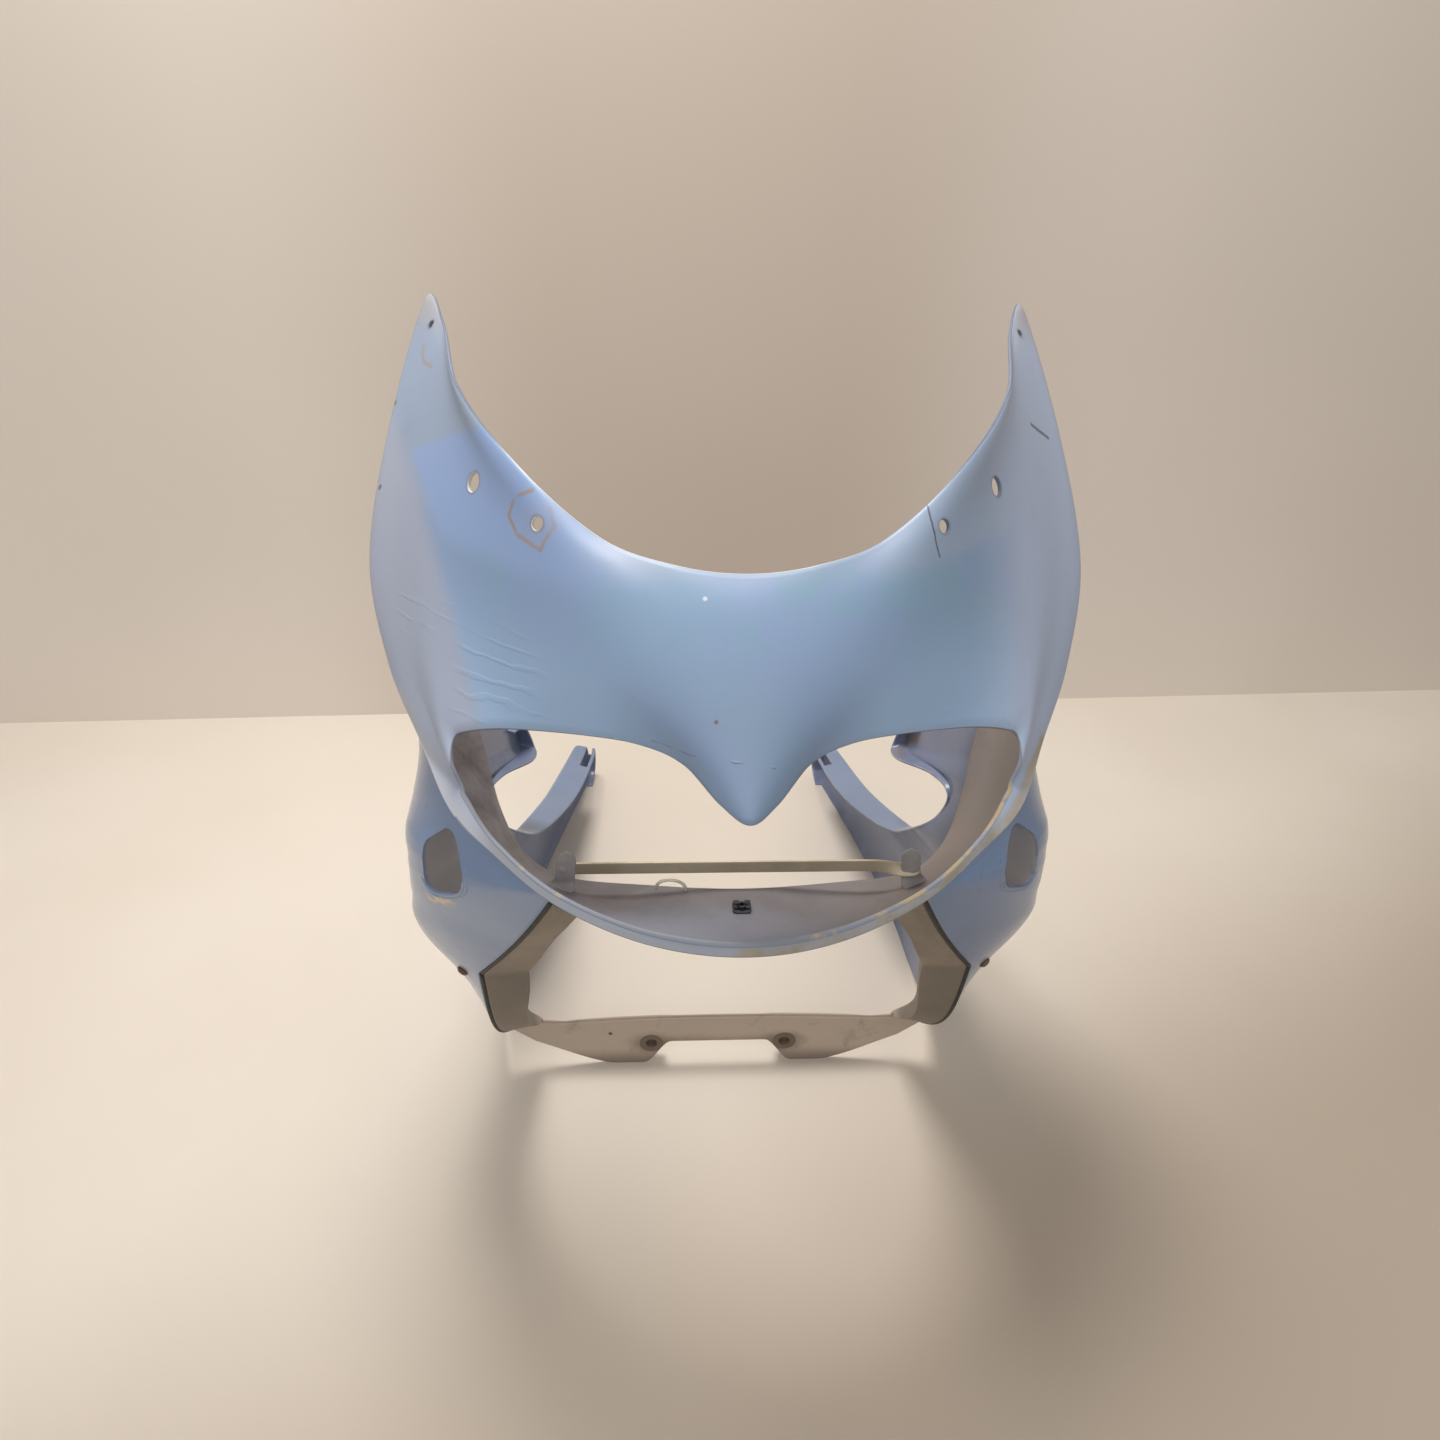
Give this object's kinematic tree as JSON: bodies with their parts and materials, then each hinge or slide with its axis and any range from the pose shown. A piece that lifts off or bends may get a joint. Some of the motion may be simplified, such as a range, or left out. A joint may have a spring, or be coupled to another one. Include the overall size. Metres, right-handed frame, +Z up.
{
  "type": "motorcycle fairing",
  "caption": "Upper fairing with a beaked headlight opening, windscreen cut-out with tall horns, side panels with ducts and long rear arms, and a lower crossbar.",
  "frame": {"origin": "on the floor under the middle of the overall box", "axes": "+X to the viewer's right in the picture, -Y out of the nose, +Z up"},
  "size_m": [0.6224, 0.898, 0.8314],
  "materials": {
    "cowl_paint": "faded satin paint on a glass-fibre moulding",
    "panel_paint": "faded satin paint on a glass-fibre moulding",
    "liner_shell": "bare, dusty moulding",
    "bead_rubber": "black rubber beading",
    "brace_steel": "dull, stained strip",
    "tongue_shell": "bare moulding",
    "screw_steel": "dull, slightly rusty",
    "loop_wire": "bright wire",
    "nut_steel": "blackened spring steel"
  },
  "bodies": {
    "root": {"nose_cowl": "cowl_paint", "side_panel_left": "panel_paint", "side_panel_right": "panel_paint", "lower_liner": "liner_shell", "bead_upper_left": "bead_rubber", "bead_upper_right": "bead_rubber", "bead_lower_left": "bead_rubber", "bead_lower_right": "bead_rubber", "brace_strip": "brace_steel", "brace_tongue_left": "tongue_shell", "brace_tongue_right": "tongue_shell", "brace_screw_left": "screw_steel", "brace_screw_right": "screw_steel", "chin_speed_nut": "nut_steel", "chin_wire_loop": "loop_wire", "tip_screw_left": "screw_steel", "tip_screw_right": "screw_steel", "foot_screw_left": "screw_steel", "foot_screw_right": "screw_steel", "tip_nut_left": "nut_steel", "tip_nut_right": "nut_steel", "foot_nut_left": "nut_steel", "foot_nut_right": "nut_steel"}
  },
  "joints": []
}
